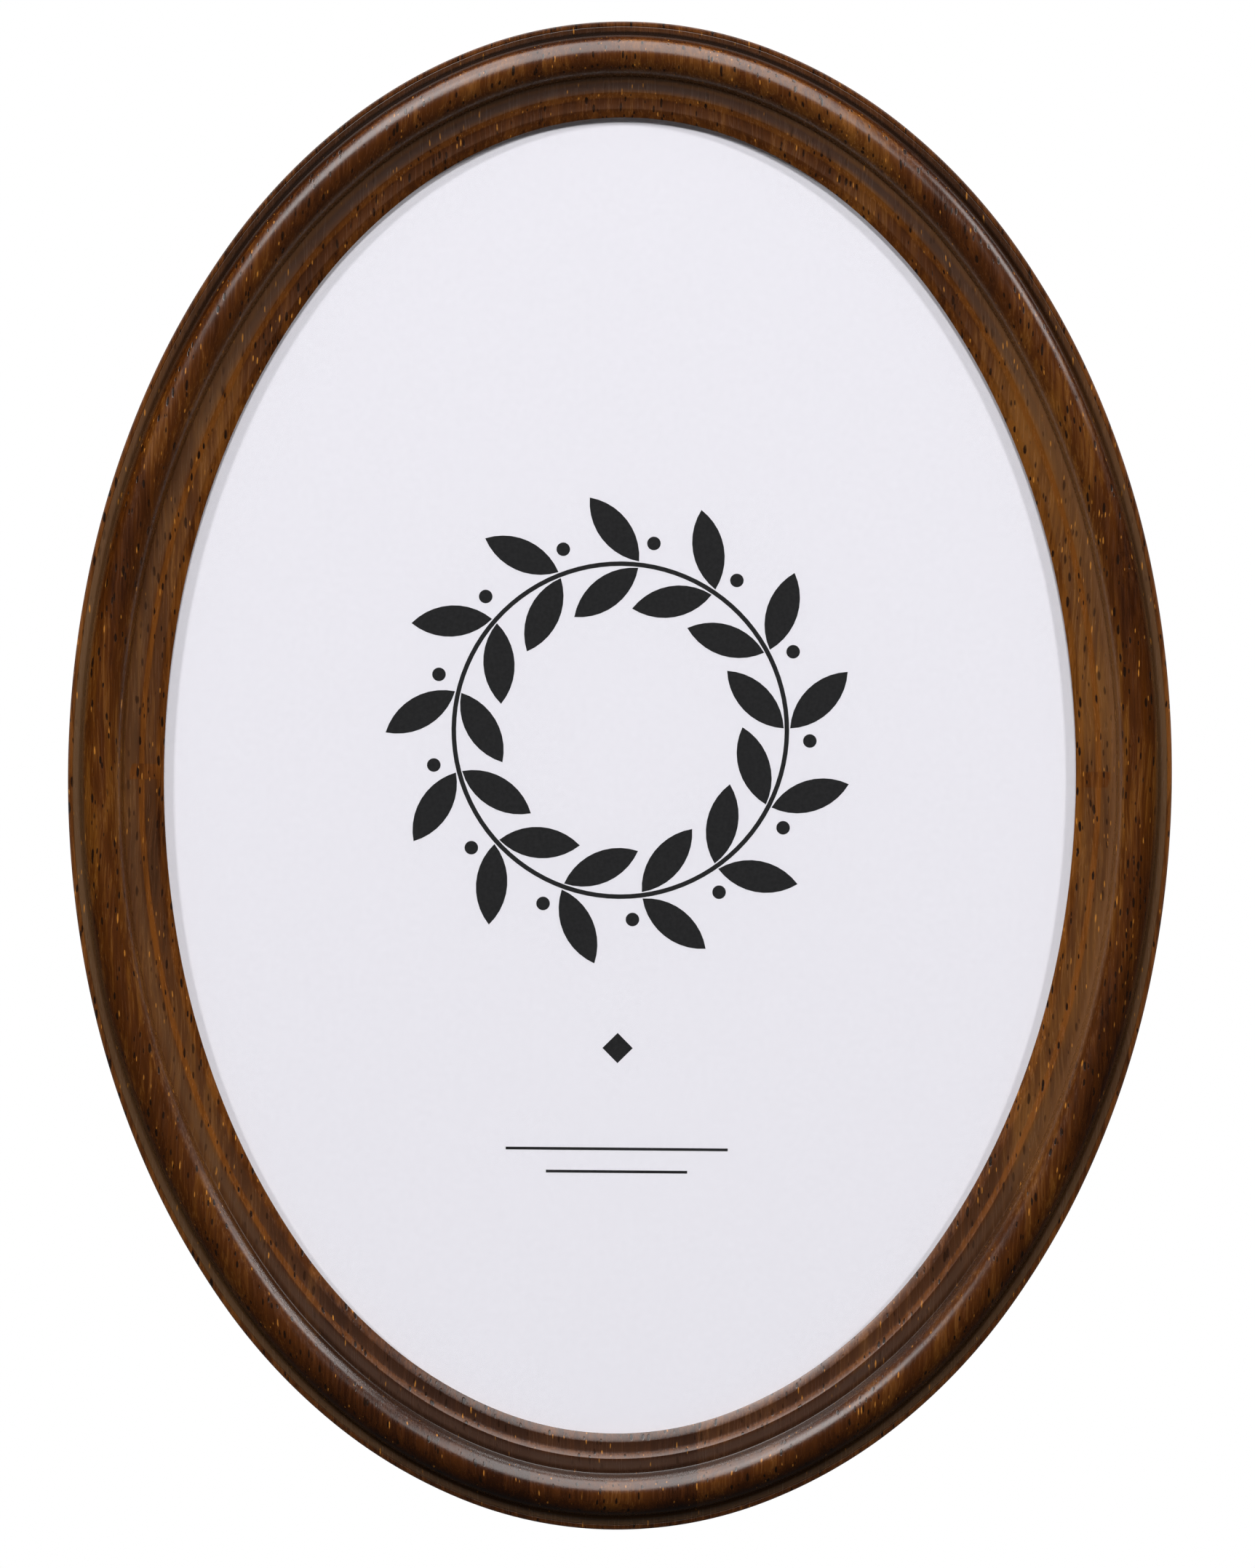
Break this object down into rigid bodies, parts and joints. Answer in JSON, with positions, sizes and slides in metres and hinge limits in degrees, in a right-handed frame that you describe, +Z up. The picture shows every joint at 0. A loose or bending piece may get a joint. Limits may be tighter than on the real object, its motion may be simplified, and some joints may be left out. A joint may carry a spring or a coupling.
{
  "type": "oval picture frame",
  "caption": "Oval wall picture frame in dark stained wood with a half-round roll moulding, glass, back panel, turn buttons and swinging ring hangers.",
  "frame": {"origin": "on the wall plane, behind the middle of the oval", "axes": "+X to the right as seen from the front, +Y through the wall and away from the viewer, +Z up"},
  "size_m": [0.2182, 0.0181, 0.2982],
  "materials": {
    "walnut_stained_wood": "semi-gloss lacquer",
    "float_glass": "clear, polished",
    "insert_paper": "matt white paper",
    "grey_card": "plain card",
    "brown_fibreboard": "smooth fibreboard",
    "zinc_plated_steel": "bright zinc",
    "nickel_plated_steel": "nickel",
    "bumper_rubber": "matt rubber"
  },
  "bodies": {
    "frame": {"moulding_left": "walnut_stained_wood", "moulding_right": "walnut_stained_wood", "moulding_top_left": "walnut_stained_wood", "moulding_top_centre": "walnut_stained_wood", "moulding_top_right": "walnut_stained_wood", "moulding_bottom_left": "walnut_stained_wood", "moulding_bottom_centre": "walnut_stained_wood", "moulding_bottom_right": "walnut_stained_wood", "glass_pane": "float_glass", "picture_sheet": "insert_paper", "filler_card": "grey_card", "back_panel": "brown_fibreboard", "turn_screw_1": "zinc_plated_steel", "turn_screw_2": "zinc_plated_steel", "turn_screw_3": "zinc_plated_steel", "turn_screw_4": "zinc_plated_steel", "turn_screw_5": "zinc_plated_steel", "turn_screw_6": "zinc_plated_steel", "portrait_hanger_strap": "nickel_plated_steel", "portrait_hanger_rivet": "zinc_plated_steel", "landscape_hanger_strap": "nickel_plated_steel", "landscape_hanger_rivet": "zinc_plated_steel", "wall_bumper_left": "bumper_rubber", "wall_bumper_right": "bumper_rubber"},
    "turn_button_1": {"turn_button_1": "zinc_plated_steel"},
    "turn_button_2": {"turn_button_2": "zinc_plated_steel"},
    "turn_button_3": {"turn_button_3": "zinc_plated_steel"},
    "turn_button_4": {"turn_button_4": "zinc_plated_steel"},
    "turn_button_5": {"turn_button_5": "zinc_plated_steel"},
    "turn_button_6": {"turn_button_6": "zinc_plated_steel"},
    "portrait_hanger_ring": {"portrait_hanger_ring": "nickel_plated_steel"},
    "landscape_hanger_ring": {"landscape_hanger_ring": "nickel_plated_steel"}
  },
  "joints": [
    {"name": "turn_button_1_turn", "type": "hinge", "parent": "frame", "child": "turn_button_1", "pos_m": [0, -0.0042, 0.14475], "axis": [0, 1, 0], "continuous": true},
    {"name": "turn_button_2_turn", "type": "hinge", "parent": "frame", "child": "turn_button_2", "pos_m": [-0.09099, -0.0042, 0.07181], "axis": [0, 1, 0], "continuous": true},
    {"name": "turn_button_3_turn", "type": "hinge", "parent": "frame", "child": "turn_button_3", "pos_m": [-0.09099, -0.0042, -0.07181], "axis": [0, 1, 0], "continuous": true},
    {"name": "turn_button_4_turn", "type": "hinge", "parent": "frame", "child": "turn_button_4", "pos_m": [0, -0.0042, -0.14475], "axis": [0, 1, 0], "continuous": true},
    {"name": "turn_button_5_turn", "type": "hinge", "parent": "frame", "child": "turn_button_5", "pos_m": [0.09099, -0.0042, -0.07181], "axis": [0, 1, 0], "continuous": true},
    {"name": "turn_button_6_turn", "type": "hinge", "parent": "frame", "child": "turn_button_6", "pos_m": [0.09099, -0.0042, 0.07181], "axis": [0, 1, 0], "continuous": true},
    {"name": "portrait_hanger_ring_swing", "type": "hinge", "parent": "frame", "child": "portrait_hanger_ring", "pos_m": [0, -0.00232, 0.112], "axis": [1, 0, 0], "range_deg": [0, 180]},
    {"name": "landscape_hanger_ring_swing", "type": "hinge", "parent": "frame", "child": "landscape_hanger_ring", "pos_m": [-0.072, -0.00232, 0], "axis": [0, 0, 1], "range_deg": [0, 180]}
  ]
}
